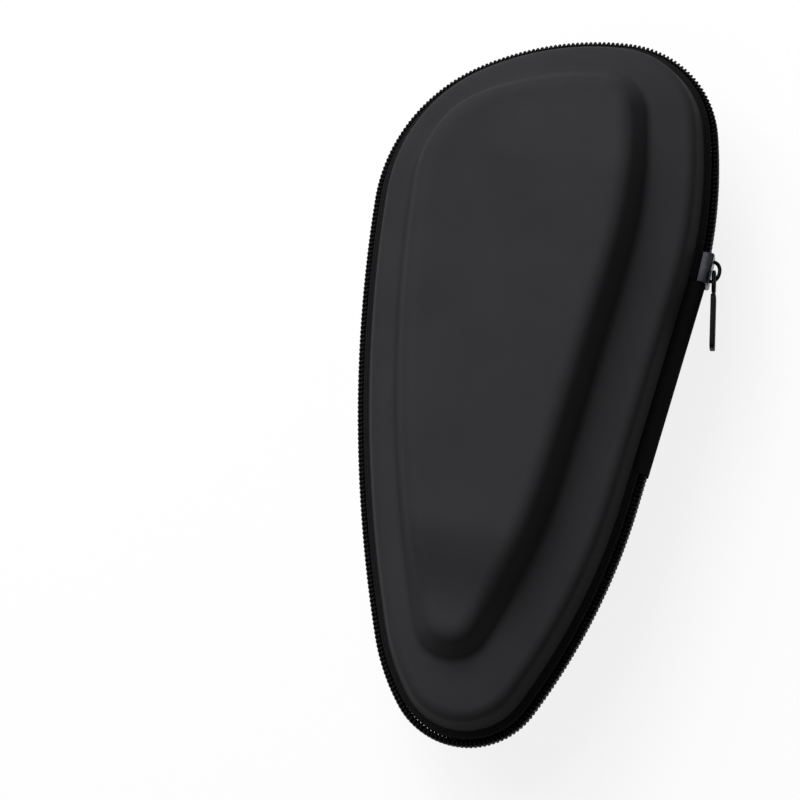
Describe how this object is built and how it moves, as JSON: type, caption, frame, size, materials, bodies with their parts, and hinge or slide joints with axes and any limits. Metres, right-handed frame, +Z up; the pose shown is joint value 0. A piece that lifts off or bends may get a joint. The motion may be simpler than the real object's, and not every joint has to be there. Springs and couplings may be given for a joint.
{
  "type": "electric shaver hard case",
  "caption": "Hard zip case for an electric shaver: two moulded shells with raised panels, a fabric hinge on one long side and a coil zip with a slider and a turning pull.",
  "frame": {"origin": "middle of the closed case's footprint, on the surface that it lies on, at the flat face of the back shell's raised panel", "axes": "+Z up through the zip plane to the front shell, +Y towards the wide head end, +X towards the hinge side"},
  "size_m": [0.1074, 0.213, 0.068],
  "materials": {
    "shell_skin": "charcoal coated fabric with a fine dotted emboss, moulded over dense foam",
    "velour": "short-napped knit lining",
    "binding_tape": "woven binding",
    "zip_tape": "woven zip tape",
    "zip_coil": "black nylon coil",
    "pocket_net": "open knitted net",
    "elastic": "ribbed woven elastic",
    "hinge_fabric": "smooth matt coated fabric, folded at both ends",
    "slider_metal": "gunmetal painted zinc",
    "bridge_metal": "black painted metal",
    "link_plastic": "black hard plastic",
    "grip_rubber": "soft-touch black"
  },
  "bodies": {
    "base": {"back_shell": "shell_skin", "back_lining": "velour", "back_binding": "binding_tape", "back_tape": "zip_tape", "back_coil": "zip_coil", "back_coil_end": "zip_coil", "strap": "elastic", "hinge_panel": "hinge_fabric", "hinge_lining": "velour"},
    "lid": {"front_shell": "shell_skin", "front_lining": "velour", "front_binding": "binding_tape", "front_tape": "zip_tape", "front_tape_end": "zip_tape", "front_coil": "zip_coil", "front_coil_end": "zip_coil", "pocket_mesh": "pocket_net", "pocket_edging": "elastic"},
    "slider": {"slider_body": "slider_metal", "slider_bridge": "bridge_metal"},
    "pull": {"pull_link": "link_plastic", "pull_tab": "grip_rubber"}
  },
  "joints": [
    {"name": "lid_hinge", "type": "hinge", "parent": "base", "child": "lid", "pos_m": [0.04146, -0.02095, 0.034], "axis": [0.1063, 0.9943, 0], "range_deg": [0, 180], "deforming": ["hinge_panel", "hinge_lining", "front_tape_end", "front_coil_end"]},
    {"name": "slider_travel", "type": "hinge", "parent": "base", "child": "slider", "pos_m": [-0.09998, 0.04837, 0.034], "axis": [0, 0, 1], "range_deg": [0, 7.8], "deforming": ["back_coil_end"]},
    {"name": "pull_swing", "type": "hinge", "parent": "slider", "child": "pull", "pos_m": [0.04909, 0.04203, 0.034], "axis": [0, 0, 1], "range_deg": [-10, 135]}
  ]
}
